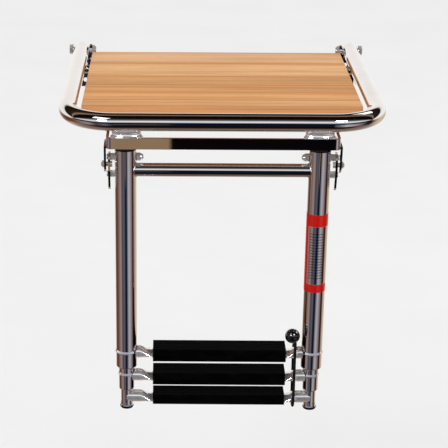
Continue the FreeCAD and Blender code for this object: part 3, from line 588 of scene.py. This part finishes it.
def studio_world():
    """Even white light, and for mirrors a room: bright on the boat's side, dark over the water."""
    world = bpy.data.worlds.new("studio")
    bpy.context.scene.world = world
    world.use_nodes = True
    tree = world.node_tree
    tree.nodes.clear()
    ray = split(tree, coordinates(tree, "Generated"))
    x, y, z = (ray[axis] for axis in "XYZ")
    ahead = maths(tree, "MULTIPLY", y, -1.0)
    around = levels(tree, maths(tree, "ARCTAN2", x, ahead), -math.pi, math.pi)
    over = levels(tree, maths(tree, "ARCTAN2", z, ahead), -math.pi, math.pi)

    def turn(degrees):
        """An angle as a ramp position; 0 degrees is the water side."""
        return (degrees + 180.0) / 360.0

    white, cream = (1.0, 0.98, 0.96), (0.93, 0.89, 0.85)
    wood, black = (0.30, 0.20, 0.12), (0.003, 0.002, 0.003)
    # round the horizon, as upright tubes see it: from the boat by the left, the water side (0)
    # and the right back to the boat
    horizon = ramp(tree, around, [(turn(a), colour) for a, colour in (
        (-180, white), (-158, cream), (-142, (0.30, 0.21, 0.16)), (-120, (0.12, 0.05, 0.02)),
        (-96, (0.15, 0.06, 0.03)), (-56, (0.34, 0.26, 0.25)), (-38, (0.08, 0.06, 0.065)),
        (-18, (0.11, 0.12, 0.17)), (-8, (0.02, 0.03, 0.06)), (0, (0.006, 0.009, 0.02)),
        (10, (0.006, 0.009, 0.02)), (20, (0.22, 0.22, 0.25)), (33, (0.48, 0.45, 0.48)),
        (58, (0.28, 0.22, 0.24)), (78, (0.02, 0.01, 0.005)), (91, (0.02, 0.01, 0.005)),
        (103, (0.38, 0.27, 0.19)), (120, (0.66, 0.51, 0.38)), (146, (0.62, 0.50, 0.38)),
        (158, cream), (180, white))])
    # over the top, as cross tubes see it: from the boat by straight down (-90), the water side
    # (0) and straight up (90) back to the boat
    arch = ramp(tree, over, [(turn(a), colour) for a, colour in (
        (-180, white), (-130, (0.50, 0.42, 0.37)), (-100, (0.23, 0.17, 0.14)),
        (-78, (0.22, 0.15, 0.12)), (-60, (0.03, 0.015, 0.01)), (-44, black), (2, black),
        (11, (0.40, 0.43, 0.50)), (17, (0.88, 0.90, 0.96)), (24, (0.88, 0.90, 0.96)),
        (31, (0.45, 0.45, 0.45)), (42, (0.10, 0.08, 0.075)), (58, black), (96, black),
        (103, (0.24, 0.16, 0.11)), (112, (0.25, 0.16, 0.11)), (118, (0.03, 0.015, 0.01)),
        (152, (0.01, 0.006, 0.004)), (158, cream), (180, white))])
    low_edge = levels(tree, z, -0.66, -0.5, smooth=True)
    high_edge = levels(tree, z, -0.2, -0.08, 1.0, 0.0, smooth=True)
    room = blend(tree, maths(tree, "MULTIPLY", low_edge, high_edge), arch, horizon)
    # the slice straight ahead that the flat strap reflects: timber on the left, dark on the right
    ahead_left = levels(tree, around, turn(-7), turn(-6))
    ahead_right = levels(tree, around, turn(9), turn(11), 1.0, 0.0)
    slice_low = levels(tree, z, -0.33, -0.322)
    slice_high = levels(tree, z, -0.286, -0.278, 1.0, 0.0)
    strap_view = blend(tree, levels(tree, around, turn(-0.12), turn(0.06)), wood, black)
    in_slice = maths(tree, "MULTIPLY", maths(tree, "MULTIPLY", ahead_left, ahead_right),
                     maths(tree, "MULTIPLY", slice_low, slice_high))
    room = blend(tree, in_slice, room, strap_view)
    rays = tree.nodes.new("ShaderNodeLightPath")
    mirrored = add(tree, "ShaderNodeBackground", {"Color": room, "Strength": 1.0})
    even = add(tree, "ShaderNodeBackground", {"Color": (1.0, 1.0, 1.0, 1), "Strength": 1.0})
    mix = add(tree, "ShaderNodeMixShader", {0: rays.outputs["Is Glossy Ray"],
                                            1: even.outputs[0], 2: mirrored.outputs[0]})
    out = tree.nodes.new("ShaderNodeOutputWorld")
    tree.links.new(mix.outputs[0], out.inputs["Surface"])


def softbox(name, place, target, width, power, only_shine=False):
    """An area light; only_shine keeps it to highlights."""
    data = bpy.data.lights.new(name, "AREA")
    data.shape = "RECTANGLE"
    data.size = width
    data.size_y = 0.6 * width
    data.energy = power
    lamp = bpy.data.objects.new(name, data)
    lamp.location = place
    lamp.visible_diffuse = not only_shine
    lamp.rotation_euler = (Vector(target) - Vector(place)).to_track_quat("-Z", "Y").to_euler()
    bpy.context.scene.collection.objects.link(lamp)


bpy.context.scene.view_settings.view_transform = "Standard"
floor()
studio_world()
DECK_SPOT = (0, -0.3, 0)
LADDER_SPOT = (0.1, -0.5, -0.2)
softbox("key_light", (-1.6, -2.2, 3.2), DECK_SPOT, width=1.6, power=12)
softbox("rim_light", (1.8, 1.6, 2.6), DECK_SPOT, width=1.4, power=6)
softbox("sparkle_left", (-1.2, -2.6, 1.2), LADDER_SPOT, width=0.75, power=34, only_shine=True)
softbox("sparkle_right", (1.1, -2.4, 1.5), LADDER_SPOT, width=0.75, power=34, only_shine=True)
